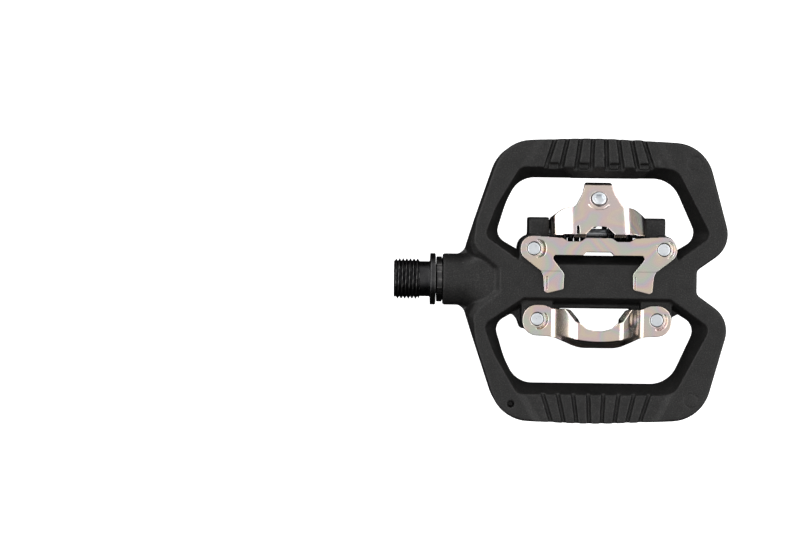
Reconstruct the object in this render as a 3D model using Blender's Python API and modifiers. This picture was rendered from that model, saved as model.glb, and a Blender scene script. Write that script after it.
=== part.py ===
"""Left-hand clipless trekking pedal: a composite cage with a clip mechanism on one side.

Frame: the origin is on the spindle's axis, where the crank-side face of the flange seats.
+X points outboard along the spindle, +Y towards the sprung claw, +Z out of the clip side.
Every constant below is in millimetres. point() turns millimetres into metres.
"""
import math

import bmesh
import bpy
from mathutils import Matrix, Vector

MM = 0.001
GAP = 0.3

# Platform
HALF_THICK = 10.0
CENTRE_X = 58.4
NECK_RADIUS = 9.1
NECK_FACE_X = 4.4
HUB_BORE = 6.8
COLLAR_BORE = 7.8
OUTLINE = [(7.5, 8.9, 0), (11.45, 8.9, 4), (24.9, 48.8, 14), (57.0, 50.1, 200),
           (95.3, 48.2, 14), (105.1, 12.8, 10), (93.0, 4.2, 2)]
WINDOW_FACE = [(32.6, 5.9, 2), (18.6, 15.5, 2.9), (22.3, 25.4, 30), (31.1, 40.2, 4.8),
               (85.2, 40.2, 7), (97.9, 16.0, 2.7), (83.9, 5.9, 2)]
WINDOW_MIDDLE = [(34.2, 9.0, 3), (22.9, 15.4, 4.5), (26.5, 27.3, 30), (30.9, 36.2, 9),
                 (84.8, 36.2, 10), (94.2, 15.5, 5), (83.5, 9.0, 3)]
TREAD_INNER_Y = 40.2
TREAD_OUTER_Y = 50.1
TREAD_DEPTH = 1.0
TREAD_RAMP = 3.5
GROOVES = 8
GROOVE_WIDTH = 1.6
GROOVE_DEPTH = 1.0
GROOVE_PITCH_INNER = 5.27
GROOVE_PITCH_OUTER = 4.37

# Screws and their bosses, as offsets from CENTRE_X
PLATE_SCREW = (22.6, 11.3)
CLAW_SCREW = (20.9, -13.4)
SHANK_RADIUS = 2.2
SHANK_HOLE = 2.5
HEAD_RADIUS = 3.6
HEAD_POCKET = 4.0
HEAD_BOTTOM_Z = -8.7
HEAD_HEIGHT = 2.4
BOSS_BOTTOM_Z = -9.0
PLATE_BOSS_TOP_Z = 9.8
CLAW_BOSS_TOP_Z = 7.0

# Clip mechanism
SHEET = 1.6
PLATE_Z = 10.3
EYE_Z = 7.3
DECK_Z = 14.9
PIN_Y = 16.8
PIN_Z = -2.0
PIN_RADIUS = 1.65
PIN_HOLE = 1.95
LUG_INNER = 16.9
LUG_OUTER = 24.0
JAW_Y = 16.5
JAW_TOP_Z = 16.5
CLAW_SLOPE = math.radians(28.5)
CLAW_SHEET = 2.0
EAR_OUTER = 16.4
EAR_RADIUS = 4.0
TENSION_HEAD_Y = 28.8
WIRE_RADIUS = 0.95
COIL_RADIUS = 3.15
COIL_START = 3.5
COIL_PITCH = 2.2
NUT_DISTANCE = 5.0

# Spindle and bearings
THREAD_RADIUS = 7.14
SHAFT_RADIUS = 5.1
JOURNAL_RADIUS = 2.95
BEARING_X = (70.0, 77.5)
BEARING_WIDTH = 5.0
BEARING_OUTER = 6.5
BEARING_INNER = 3.25
BALL_RADIUS = 0.95
BALL_PITCH_RADIUS = 4.75
BALLS = 7


# ---------------------------------------------------------------- scene and materials

def clear_scene():
    for obj in list(bpy.data.objects):
        bpy.data.objects.remove(obj, do_unlink=True)


def new_collection(name, hidden=False):
    collection = bpy.data.collections.new(name)
    bpy.context.scene.collection.children.link(collection)
    collection.hide_render = hidden
    return collection


def new_material(name, colour, roughness, metallic):
    material = bpy.data.materials.new(name)
    material.use_nodes = True
    shader = material.node_tree.nodes["Principled BSDF"]
    shader.inputs["Base Color"].default_value = (*colour, 1.0)
    shader.inputs["Roughness"].default_value = roughness
    shader.inputs["Metallic"].default_value = metallic
    material.diffuse_color = (*colour, 1.0)
    return material


clear_scene()
PARTS = new_collection("clipless_pedal")
CUTTERS = new_collection("cutters", hidden=True)
COMPOSITE = new_material("black_composite", (0.035, 0.035, 0.037), 0.6, 0.0)
PLATED = new_material("plated_steel", (0.62, 0.58, 0.55), 0.25, 1.0)
ZINC = new_material("zinc_screw", (0.72, 0.74, 0.78), 0.35, 1.0)
BLACK_STEEL = new_material("black_oxide_steel", (0.04, 0.04, 0.045), 0.35, 1.0)
SPRING_STEEL = new_material("spring_steel", (0.03, 0.03, 0.035), 0.4, 1.0)
BRIGHT_STEEL = new_material("bearing_steel", (0.6, 0.6, 0.62), 0.2, 1.0)
RUBBER = new_material("seal_rubber", (0.02, 0.02, 0.02), 0.8, 0.0)
BRONZE = new_material("bush_polymer", (0.35, 0.26, 0.12), 0.5, 0.0)


# ---------------------------------------------------------------- geometry helpers

def point(x, y, z):
    return Vector((x, y, z)) * MM


def link(name, mesh, material=None):
    """An object in the parts collection, or a cutter when it has no material."""
    obj = bpy.data.objects.new(name, mesh)
    if material:
        mesh.materials.append(material)
        PARTS.objects.link(obj)
    else:
        CUTTERS.objects.link(obj)
        obj.hide_render = True
        obj.display_type = "WIRE"
    return obj


def mirrored(half):
    """A half outline on the +Y side, completed by its mirror image."""
    return [(x, -y, r) for x, y, r in half] + [(x, y, r) for x, y, r in reversed(half)]


def rounded(corners, closed=True, steps=4):
    """Corner points (x, y, radius) with each corner turned into an arc."""
    result = []
    count = len(corners)
    for i, (x, y, radius) in enumerate(corners):
        here = Vector((x, y))
        at_end = not closed and i in (0, count - 1)
        if radius == 0 or at_end:
            result.append(here)
            continue
        before = (Vector(corners[i - 1][:2]) - here).normalized()
        after = (Vector(corners[(i + 1) % count][:2]) - here).normalized()
        half_angle = before.angle(after) / 2
        reach = radius / math.tan(half_angle)
        centre = here + (before + after).normalized() * radius / math.sin(half_angle)
        start = here + before * reach - centre
        end = here + after * reach - centre
        turn = start.angle_signed(end)
        for k in range(steps + 1):
            step = -turn * k / steps
            result.append(centre + Matrix.Rotation(step, 2) @ start)
    return result


def prism(name, outline, low, high, material=None, along="Z"):
    """A flat outline extruded between two levels along Z, X (outline is Y, Z) or Y (X, Z)."""
    data = bpy.data.curves.new(name, "CURVE")
    data.dimensions = "2D"
    data.fill_mode = "BOTH"
    data.extrude = (high - low) / 2 * MM
    spline = data.splines.new("POLY")
    spline.points.add(len(outline) - 1)
    for target, corner in zip(spline.points, outline):
        target.co = (corner[0] * MM, corner[1] * MM, 0, 1)
    spline.use_cyclic_u = True
    turn = {"Z": Matrix.Identity(4),
            "X": Matrix(((0, 0, 1, 0), (1, 0, 0, 0), (0, 1, 0, 0), (0, 0, 0, 1))),
            "Y": Matrix(((1, 0, 0, 0), (0, 0, -1, 0), (0, 1, 0, 0), (0, 0, 0, 1)))}[along]
    middle = (low + high) / 2 * MM
    if along == "Y":
        middle = -middle
    curve = bpy.data.objects.new(name, data)
    PARTS.objects.link(curve)
    return curve_to_mesh(curve, turn @ Matrix.Translation((0, 0, middle)), material)


def curve_to_mesh(curve, placing, material):
    """The curve's own mesh, welded and placed; the curve is removed."""
    name = curve.name
    bpy.context.view_layer.update()
    evaluated = curve.evaluated_get(bpy.context.evaluated_depsgraph_get())
    mesh = bpy.data.meshes.new_from_object(evaluated)
    bpy.data.objects.remove(curve, do_unlink=True)
    work = bmesh.new()
    work.from_mesh(mesh)
    bmesh.ops.remove_doubles(work, verts=work.verts, dist=1e-7)
    bmesh.ops.transform(work, matrix=placing, verts=work.verts)
    bmesh.ops.recalc_face_normals(work, faces=work.faces)
    work.to_mesh(mesh)
    work.free()
    mesh.materials.clear()
    return link(name, mesh, material)


def loft(name, rings, material=None):
    """A closed solid through rings of matching points, with a flat cap at each end."""
    work = bmesh.new()
    rows = [[work.verts.new(p) for p in ring] for ring in rings]
    for low, high in zip(rows, rows[1:]):
        for i in range(len(low)):
            j = (i + 1) % len(low)
            work.faces.new((low[i], low[j], high[j], high[i]))
    work.faces.new(list(reversed(rows[0])))
    work.faces.new(rows[-1])
    bmesh.ops.recalc_face_normals(work, faces=work.faces)
    mesh = bpy.data.meshes.new(name)
    work.to_mesh(mesh)
    work.free()
    return link(name, mesh, material)


def turned(name, profile, material=None, steps=32, centre=(0, 0)):
    """A profile of (x, radius) points, run inboard to outboard, turned about the X axis."""
    work = bmesh.new()
    verts = [work.verts.new(point(radius, 0, -x)) for x, radius in profile]
    for first, second in zip(verts, verts[1:]):
        work.edges.new((first, second))
    if profile[0][1] > 0:
        work.edges.new((verts[-1], verts[0]))
    mesh = bpy.data.meshes.new(name)
    work.to_mesh(mesh)
    work.free()
    obj = link(name, mesh, material)
    obj.rotation_euler = (0, -math.pi / 2, 0)
    obj.location = point(0, *centre)
    screw = obj.modifiers.new("turn", "SCREW")
    screw.axis = "Z"
    screw.steps = steps
    screw.render_steps = steps
    screw.use_merge_vertices = True
    screw.merge_threshold = 1e-6
    screw.use_smooth_shade = False
    return obj


def cylinder(name, base, tip, radius, material=None, sides=24):
    """A primitive cylinder from base to tip, both (x, y, z)."""
    start = point(*base)
    axis = point(*tip) - start
    work = bmesh.new()
    bmesh.ops.create_cone(work, cap_ends=True, segments=sides, radius1=radius * MM,
                          radius2=radius * MM, depth=axis.length)
    turn = axis.to_track_quat("Z", "Y").to_matrix().to_4x4()
    placing = Matrix.Translation(start + axis / 2) @ turn
    bmesh.ops.transform(work, matrix=placing, verts=work.verts)
    mesh = bpy.data.meshes.new(name)
    work.to_mesh(mesh)
    work.free()
    return link(name, mesh, material)


def boxes(name, items, material=None):
    """One object of separate boxes, each (centre, size, turn about Z in radians)."""
    work = bmesh.new()
    for centre, size, turn in items:
        made = bmesh.ops.create_cube(work, size=1.0)
        placing = (Matrix.Translation(point(*centre)) @ Matrix.Rotation(turn, 4, "Z")
                   @ Matrix.Diagonal((*point(*size), 1)))
        bmesh.ops.transform(work, matrix=placing, verts=made["verts"])
    mesh = bpy.data.meshes.new(name)
    work.to_mesh(mesh)
    work.free()
    return link(name, mesh, material)


def combine(target, other, operation="DIFFERENCE"):
    """Cuts, joins or keeps the common part; the other object must be a cutter."""
    modifier = target.modifiers.new(other.name, "BOOLEAN")
    modifier.operation = operation
    modifier.object = other
    modifier.solver = "EXACT"


def strip(path, thickness):
    """A closed outline: the path, and the path moved down by the sheet's thickness."""
    lower = []
    for i, here in enumerate(path):
        before = path[max(i - 1, 0)]
        after = path[min(i + 1, len(path) - 1)]
        first = (here - before).normalized() if here != before else (after - here).normalized()
        second = (after - here).normalized() if here != after else first
        along = (first + second).normalized()
        normal = Vector((along.y, -along.x))
        lower.append(here + normal * thickness / max(normal.dot(Vector((first.y, -first.x))), 0.5))
    return list(path) + list(reversed(lower))


def attach(objects, holder):
    for obj in objects:
        obj.parent = holder
        obj.matrix_parent_inverse = holder.matrix_world.inverted()


def empty(name, location):
    holder = bpy.data.objects.new(name, None)
    PARTS.objects.link(holder)
    holder.location = location
    bpy.context.view_layer.update()
    return holder


# ---------------------------------------------------------------- pedal body

def window_cutter(name, side):
    """Cage opening on the side of Y given: wide at both faces and narrowest half way."""
    face = rounded(WINDOW_FACE)
    middle = rounded(WINDOW_MIDDLE)
    over = (HALF_THICK + 1.0) / HALF_THICK
    rings = []
    for level, share in ((-over, over), (0, 0), (over, over)):
        ring = [m + (f - m) * share for f, m in zip(face, middle)]
        rings.append([point(p.x, side * p.y, level * HALF_THICK) for p in ring])
    return loft(name, rings)


def neck_cutter(name, side):
    """Slopes from the platform's face down to the round neck, and chamfers the arms' roots."""
    top = [(0, 0.5), (24.8, 0.5), (24.8, 4.0), (17.0, 10.2), (15.2, 13.2), (15.7, 21.5), (0, 21.5)]
    low = [(-9, 0.2), (-2.0, 0.2), (-2.0, 1.5), (13.0, 4.8), (12.2, 12.2), (14.8, 21.5), (-9, 21.5)]
    upper, lower = HALF_THICK, 2.0
    rise = 1.0 / (upper - lower)
    high = [(t[0] + (t[0] - b[0]) * rise, t[1] + (t[1] - b[1]) * rise) for t, b in zip(top, low)]
    rings = []
    for level, half in ((lower, low), (upper + 1.0, high)):
        outline = half[1:] + [(x, -y) for x, y in reversed(half[1:])]
        rings.append([point(x, y, side * level) for x, y in outline])
    return loft(name, rings)


def tread_cutters(name, y_side, z_side):
    """Shallow ramped recess of one tread, and its fan of grooves."""
    left = [(29.2, 37.0), (38.7, 53.0)]
    right = [(78.4, 53.0), (86.9, 37.0)]
    rings = []
    for drop in (-0.5, TREAD_DEPTH):
        shift = TREAD_RAMP * drop / TREAD_DEPTH
        outline = [(x + shift, y) for x, y in left] + [(x - shift, y) for x, y in right]
        level = z_side * (HALF_THICK - drop)
        rings.append([point(x, y_side * y, level) for x, y in outline])
    recess = loft(name + "_recess", rings)
    bars = []
    bottom = HALF_THICK - TREAD_DEPTH - GROOVE_DEPTH
    top = HALF_THICK + 1.0
    for i in range(GROOVES):
        rank = i - (GROOVES - 1) / 2
        inner = CENTRE_X + rank * GROOVE_PITCH_INNER
        outer = CENTRE_X + rank * GROOVE_PITCH_OUTER
        turn = math.atan2(inner - outer, TREAD_OUTER_Y - TREAD_INNER_Y) * y_side
        centre = ((inner + outer) / 2, y_side * (TREAD_INNER_Y + TREAD_OUTER_Y) / 2,
                  z_side * (bottom + top) / 2)
        bars.append((centre, (GROOVE_WIDTH, 14.0, top - bottom), turn))
    return recess, boxes(name + "_grooves", bars)


def boss_unions():
    """Solids joined to the cage: screw bosses on both sides of the hub, and the pin's lugs."""
    for sign in (-1, 1):
        x = CENTRE_X + sign * PLATE_SCREW[0]
        y = PLATE_SCREW[1]
        outline = rounded([(x - 4.9, 4.0, 0), (x + 4.9, 4.0, 0), (x + 4.9, y + 4.9, 4.85),
                           (x - 4.9, y + 4.9, 4.85)], steps=6)
        yield prism(f"plate_boss_{sign}", outline, BOSS_BOTTOM_Z, PLATE_BOSS_TOP_Z)
        low, high = sorted((CENTRE_X + sign * LUG_INNER, CENTRE_X + sign * LUG_OUTER))
        lug = rounded([(6.5, -6.5, 0), (22.3, -6.5, 1.0), (22.3, 5.0, 1.4), (6.5, 5.0, 0)], steps=2)
        yield prism(f"pin_lug_{sign}", lug, low, high, along="X")
        x = CENTRE_X + sign * CLAW_SCREW[0]
        y = CLAW_SCREW[1]
        outline = rounded([(x - 5.5, -4.2, 0), (x - 5.5, y - 5.5, 5.4), (x + 5.5, y - 5.5, 5.4),
                           (x + 5.5, -4.2, 0)], steps=6)
        yield prism(f"claw_boss_{sign}", outline, BOSS_BOTTOM_Z, CLAW_BOSS_TOP_Z)


def screw_places():
    """(x, y, tip level, name) of each binding screw."""
    for index, sign in enumerate((-1, 1), start=1):
        yield (CENTRE_X + sign * PLATE_SCREW[0], PLATE_SCREW[1], PLATE_Z + SHEET - 0.2,
               f"plate_screw_{index}")
        yield (CENTRE_X + sign * CLAW_SCREW[0], CLAW_SCREW[1], EYE_Z + SHEET - 0.2,
               f"claw_screw_{index}")


def build_body():
    body = prism("pedal_body", rounded(mirrored(OUTLINE)), -HALF_THICK, HALF_THICK, COMPOSITE)
    for side in (-1, 1):
        combine(body, window_cutter(f"window_{side}", side))
        combine(body, neck_cutter(f"neck_slope_{side}", side))
    neck = cylinder("neck", (NECK_FACE_X, 0, 0), (28, 0, 0), NECK_RADIUS, sides=48)
    combine(body, neck, "UNION")
    for boss in boss_unions():
        combine(body, boss, "UNION")
    for y_side in (-1, 1):
        for z_side in (-1, 1):
            for cutter in tread_cutters(f"tread_{y_side}_{z_side}", y_side, z_side):
                combine(body, cutter)
    bore = turned("axle_bore", [(0, 0), (0, COLLAR_BORE), (20, COLLAR_BORE), (20, HUB_BORE),
                                (88.5, HUB_BORE), (88.5, 0)], steps=40)
    combine(body, bore)
    for x, y, _, name in screw_places():
        combine(body, cylinder(name + "_hole", (x, y, -12), (x, y, 12), SHANK_HOLE, sides=20))
        pocket_top = HEAD_BOTTOM_Z + HEAD_HEIGHT + GAP
        combine(body, cylinder(name + "_pocket", (x, y, -12), (x, y, pocket_top), HEAD_POCKET))
    reach = LUG_OUTER - 1.5
    combine(body, cylinder("pin_bore", (CENTRE_X - reach, PIN_Y, PIN_Z),
                           (CENTRE_X + reach, PIN_Y, PIN_Z), PIN_HOLE, sides=20))
    for z_side in (-1, 1):
        hole = cylinder(f"face_hole_{z_side}", (28.6, -43.1, z_side * 7.0),
                        (28.6, -43.1, z_side * 12.0), 1.25, sides=16)
        combine(body, hole)
    return body


# ---------------------------------------------------------------- spindle and bearings

def build_spindle():
    shoulder = BEARING_X[0] - GAP
    profile = [(-12.8, 0), (-12.8, 6.2), (-11.8, THREAD_RADIUS), (-3.7, THREAD_RADIUS),
               (-3.7, 6.2), (0, 6.2), (0, 9.0), (0.3, 9.1), (1.6, 9.1), (1.9, 8.8),
               (1.9, SHAFT_RADIUS), (24, SHAFT_RADIUS), (66, 4.3), (shoulder, 4.1),
               (shoulder, JOURNAL_RADIUS), (87.0, JOURNAL_RADIUS), (87.4, 2.5), (87.4, 0)]
    spindle = turned("spindle", profile, BLACK_STEEL, steps=40)
    across_flats = 8.0
    socket = cylinder("hex_socket", (-16, 0, 0), (-3.5, 0, 0),
                      across_flats / 2 / math.cos(math.pi / 6), sides=6)
    combine(spindle, socket)
    return spindle


def build_axle_unit():
    """Collar, seal and plain bushing at the inboard end."""
    collar = turned("cartridge_collar", [(2.2, 6.6), (2.2, 7.8), (2.45, 8.05), (4.1, 8.05),
                                         (4.1, 7.5), (19.7, 7.5), (19.7, 6.6)],
                    BLACK_STEEL, steps=36)
    notches = []
    for i in range(6):
        angle = i * math.pi / 3
        notches.append(((3.1, 8.6 * math.cos(angle), 8.6 * math.sin(angle)), angle))
    for i, (centre, angle) in enumerate(notches):
        notch = boxes(f"collar_notch_{i}", [((0, 0, 0), (3.4, 2.2, 1.6), 0)])
        notch.location = point(*centre)
        notch.rotation_euler = (angle + math.pi / 2, 0, 0)
        combine(collar, notch)
    seal = turned("spindle_seal", [(2.6, 5.45), (2.6, 6.3), (5.0, 6.3), (5.0, 5.45)],
                  RUBBER, steps=28)
    bushing = turned("plain_bushing", [(5.5, 5.4), (5.5, 6.3), (19.0, 6.3), (19.0, 5.4)],
                     BRONZE, steps=28)
    return [collar, seal, bushing]


def race(name, x, inner, outer, groove, on_inside):
    """A bearing ring with a shallow race groove on one of its walls."""
    middle = x + BEARING_WIDTH / 2
    reach = 0.9
    profile = [(x, inner), (x, outer)]
    if on_inside:
        profile += [(x + BEARING_WIDTH, outer), (x + BEARING_WIDTH, inner),
                    (middle + reach, inner), (middle, groove), (middle - reach, inner)]
    else:
        profile += [(middle - reach, outer), (middle, groove), (middle + reach, outer),
                    (x + BEARING_WIDTH, outer), (x + BEARING_WIDTH, inner)]
    return turned(name, profile, BRIGHT_STEEL, steps=28)


def build_bearing(index, x):
    """Rings, cage and balls of one bearing: (rings fixed to the spindle, to the hub, cage)."""
    inner_ring = race(f"bearing_inner_ring_{index}", x, BEARING_INNER, 4.1, 3.6, False)
    outer_ring = race(f"bearing_outer_ring_{index}", x, 5.4, BEARING_OUTER, 5.9, True)
    middle = x + BEARING_WIDTH / 2
    rolling = []
    for i in range(BALLS):
        angle = 2 * math.pi * i / BALLS
        work = bmesh.new()
        bmesh.ops.create_uvsphere(work, u_segments=10, v_segments=6, radius=BALL_RADIUS * MM)
        mesh = bpy.data.meshes.new("ball")
        work.to_mesh(mesh)
        work.free()
        mesh.shade_smooth()
        ball = link(f"bearing_ball_{index}_{i + 1}", mesh, BRIGHT_STEEL)
        ball.location = point(middle, BALL_PITCH_RADIUS * math.cos(angle),
                              BALL_PITCH_RADIUS * math.sin(angle))
        rolling.append(ball)
    cage = turned(f"ball_cage_{index}", [(middle + 1.25, 4.45), (middle + 1.25, 5.05),
                                         (middle + 2.0, 5.05), (middle + 2.0, 4.45)],
                  BRONZE, steps=28)
    fingers = []
    for i in range(BALLS):
        angle = 2 * math.pi * (i + 0.5) / BALLS
        finger = boxes(f"cage_finger_{index}_{i}", [((0, 0, 0), (2.2, 0.9, 0.4), 0)])
        finger.location = point(middle + 0.6, 4.75 * math.cos(angle), 4.75 * math.sin(angle))
        finger.rotation_euler = (angle + math.pi / 2, 0, 0)
        fingers.append(finger)
    for finger in fingers:
        combine(cage, finger, "UNION")
    rolling.append(cage)
    return inner_ring, outer_ring, rolling


def build_axle_end():
    """Spacer between the bearings, lock washer and nut."""
    first_end = BEARING_X[0] + BEARING_WIDTH
    last_end = BEARING_X[1] + BEARING_WIDTH
    spacer = turned("bearing_spacer", [(first_end + GAP, BEARING_INNER), (first_end + GAP, 4.0),
                                       (BEARING_X[1] - GAP, 4.0),
                                       (BEARING_X[1] - GAP, BEARING_INNER)],
                    BRIGHT_STEEL, steps=28)
    washer = turned("lock_washer", [(last_end + GAP, BEARING_INNER), (last_end + GAP, 4.6),
                                    (last_end + 1.1, 4.6), (last_end + 1.1, BEARING_INNER)],
                    ZINC, steps=28)
    nut = cylinder("spindle_nut", (last_end + 1.4, 0, 0), (last_end + 4.2, 0, 0), 5.2,
                   ZINC, sides=6)
    combine(nut, cylinder("nut_bore", (last_end, 0, 0), (last_end + 6, 0, 0), BEARING_INNER))
    return [spacer, washer, nut]


# ---------------------------------------------------------------- plates, claws and screws

def about_centre(half):
    """A half outline as (offset from CENTRE_X, y, radius), completed to both sides."""
    return ([(CENTRE_X + u, y, r) for u, y, r in half]
            + [(CENTRE_X - u, y, r) for u, y, r in reversed(half)])


def build_cleat_plate():
    half = [(4.8, 15.4, 0.8), (6.2, 14.0, 0.8), (10.8, 14.0, 0.8), (12.6, 15.2, 0.8),
            (27.3, 16.0, 4.6), (27.3, 9.0, 3.4), (19.3, 2.9, 3.0), (18.75, -4.5, 1.2),
            (12.1, -2.8, 0.8), (11.95, 2.75, 1.5), (16.3, 8.2, 0.9), (15.2, 9.1, 0.6),
            (5.4, 9.1, 0.3), (4.2, 10.3, 0.3)]
    plate = prism("cleat_plate", rounded(about_centre(half)), PLATE_Z, PLATE_Z + SHEET, PLATED)
    for sign in (-1, 1):
        x = CENTRE_X + sign * PLATE_SCREW[0]
        y = PLATE_SCREW[1]
        combine(plate, cylinder(f"plate_eye_{sign}", (x, y, 8), (x, y, 14), SHANK_HOLE))
    return plate


def build_front_claw():
    """Eyes low on the bosses, side walls that climb, and a deck that hooks the cleat."""
    low, high = EYE_Z + SHEET, DECK_Z + SHEET
    crest = [(27.0, low, 0), (15.4, low, 1.8), (7.8, high, 2.4)]
    path = ([(CENTRE_X - u, z, r) for u, z, r in crest]
            + [(CENTRE_X + u, z, r) for u, z, r in reversed(crest)])
    bent = strip(rounded(path, closed=False, steps=3), SHEET)
    claw = prism("front_claw", bent, -25.0, -6.0, PLATED, along="Y")
    half = [(25.95, -8.35, 5.0), (25.95, -18.5, 5.0), (15.6, -18.9, 3.0), (7.0, -22.4, 2.0)]
    inner = [(3.4, -16.6, 3.0), (6.9, -13.0, 0.5), (9.6, -9.3, 0.8), (15.4, -9.7, 1.0),
             (18.6, -8.5, 2.0)]
    outline = ([(CENTRE_X + u, y, r) for u, y, r in inner + half]
               + [(CENTRE_X - u, y, r) for u, y, r in reversed(inner + half)])
    plan = prism("front_claw_plan", rounded(outline), 0.0, 30.0)
    combine(claw, plan, "INTERSECT")
    for sign in (-1, 1):
        x = CENTRE_X + sign * CLAW_SCREW[0]
        y = CLAW_SCREW[1]
        combine(claw, cylinder(f"claw_eye_{sign}", (x, y, 5), (x, y, 11), SHANK_HOLE))
    return claw


def jaw_level(y):
    """Height of the rear claw's sloping top face at y."""
    return JAW_TOP_Z - (y - JAW_Y) * math.tan(CLAW_SLOPE)


def screw_axis_point(distance):
    """(x, y, z) on the tension screw's axis, a distance in from the claw's top face."""
    return (CENTRE_X, TENSION_HEAD_Y - distance * math.sin(CLAW_SLOPE),
            jaw_level(TENSION_HEAD_Y) - distance * math.cos(CLAW_SLOPE))


def build_rear_claw():
    """Sloping top face, rolled shoulders, and two ears that hang on the pin."""
    bend = 5.0
    inside = EAR_OUTER - 1.8
    depth = 26.0
    outer = rounded([(-EAR_OUTER, -depth, 0), (-EAR_OUTER, 0, bend), (EAR_OUTER, 0, bend),
                     (EAR_OUTER, -depth, 0)], steps=5)
    inner = rounded([(inside, -depth, 0), (inside, -CLAW_SHEET, 3.2), (-inside, -CLAW_SHEET, 3.2),
                     (-inside, -depth, 0)], steps=5)
    section = outer + inner
    rings = []
    for y in (12.0, 36.0):
        rings.append([point(CENTRE_X + p.x, y, jaw_level(y) + p.y) for p in section])
    claw = loft("rear_claw", rings, PLATED)
    plan_half = [(4.6, JAW_Y, 0.4), (12.0, JAW_Y, 1.0), (13.2, JAW_Y - 0.4, 0), (17.0, JAW_Y - 0.4, 0),
                 (17.0, 22.2, 1.0), (12.2, 25.3, 2.5), (8.6, 26.0, 1.5), (4.9, 31.6, 3.0),
                 (4.6, 34.3, 0.8)]
    plan_half.insert(0, (3.4, JAW_Y + 2.6, 1.2))
    combine(claw, prism("rear_claw_plan", rounded(about_centre(plan_half)), -10, 24), "INTERSECT")
    lobe = [(PIN_Y + EAR_RADIUS, PIN_Z - EAR_RADIUS, EAR_RADIUS - 0.05),
            (PIN_Y - EAR_RADIUS, PIN_Z - EAR_RADIUS, EAR_RADIUS - 0.05)]
    side = ([(JAW_Y - 0.8, 22, 0), (36, 22, 0), (36, 2, 0), (25.0, 8.0, 2), (22.3, 3.0, 3)]
            + lobe + [(PIN_Y - EAR_RADIUS, 0.5, 3), (JAW_Y - 0.8, 6.5, 3)])
    side_outline = rounded(side, steps=5)
    combine(claw, prism("rear_claw_side", side_outline, 30, 90, along="X"), "INTERSECT")
    combine(claw, cylinder("ear_bore", (30, PIN_Y, PIN_Z), (90, PIN_Y, PIN_Z), PIN_HOLE))
    combine(claw, cylinder("tab_hole", screw_axis_point(-3), screw_axis_point(5), 2.1))
    combine(claw, cylinder("tab_pocket", screw_axis_point(-3), screw_axis_point(0.9), 2.9))
    return claw


def build_pin():
    reach = LUG_OUTER - 1.8
    return cylinder("pivot_pin", (CENTRE_X - reach, PIN_Y, PIN_Z),
                    (CENTRE_X + reach, PIN_Y, PIN_Z), PIN_RADIUS, ZINC, sides=20)


def build_spring(name, sign):
    """Torsion spring: a leg under the tension nut, the coil on the pin, a leg on the hub."""
    inner_angle = math.radians(-46.5)
    outer_angle = math.radians(-135.4)
    turns = 4 + (inner_angle - outer_angle) / (2 * math.pi)
    per_turn = 12
    count = round(turns * per_turn)
    route = [(CENTRE_X + sign * COIL_START, 27.0, 2.3), (CENTRE_X + sign * COIL_START, 22.4, -1.0)]
    for i in range(count + 1):
        share = i / count
        angle = inner_angle - share * turns * 2 * math.pi
        offset = COIL_START + COIL_PITCH * turns * share
        route.append((CENTRE_X + sign * offset, PIN_Y + COIL_RADIUS * math.cos(angle),
                      PIN_Z + COIL_RADIUS * math.sin(angle)))
    end = CENTRE_X + sign * (COIL_START + COIL_PITCH * turns)
    route += [(end, 11.9, -1.5), (end, 10.2, 1.3)]
    data = bpy.data.curves.new(name, "CURVE")
    data.dimensions = "3D"
    data.bevel_depth = WIRE_RADIUS * MM
    data.bevel_resolution = 1
    data.use_fill_caps = True
    spline = data.splines.new("POLY")
    spline.points.add(len(route) - 1)
    for target, place in zip(spline.points, route):
        target.co = (*point(*place), 1)
    curve = bpy.data.objects.new(name, data)
    PARTS.objects.link(curve)
    return curve_to_mesh(curve, Matrix.Identity(4), SPRING_STEEL)


def build_tension_parts():
    """Adjusting screw through the tab, and the plate it threads into."""
    screw = cylinder("tension_screw", screw_axis_point(0.6), screw_axis_point(19.5), 1.75,
                     ZINC, sides=20)
    head = cylinder("tension_head", screw_axis_point(-0.7), screw_axis_point(0.75), 2.5, sides=24)
    combine(screw, head, "UNION")
    slope = Matrix.Rotation(-CLAW_SLOPE, 4, "X")
    centre = point(*screw_axis_point(NUT_DISTANCE))
    nut = boxes("tension_nut", [((0, 0, 0), (10.4, 4.6, 2.2), 0)], ZINC)
    nut.data.transform(Matrix.Translation(centre) @ slope)
    combine(nut, cylinder("tension_nut_bore", screw_axis_point(1), screw_axis_point(9), 2.05))
    return screw, nut


def build_screws():
    """Binding screws: head recessed on the flat side, tip flush in the steel eye."""
    screws = []
    for x, y, tip, name in screw_places():
        screw = cylinder(name, (x, y, HEAD_BOTTOM_Z + 1), (x, y, tip), SHANK_RADIUS, ZINC,
                         sides=20)
        head_top = HEAD_BOTTOM_Z + HEAD_HEIGHT
        head = cylinder(name + "_head", (x, y, HEAD_BOTTOM_Z), (x, y, head_top), HEAD_RADIUS)
        combine(screw, head, "UNION")
        drive = cylinder(name + "_drive", (x, y, HEAD_BOTTOM_Z - 1), (x, y, HEAD_BOTTOM_Z + 1.6),
                         1.6, sides=6)
        combine(screw, drive)
        screws.append(screw)
    return screws


# ---------------------------------------------------------------- assembly

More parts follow.
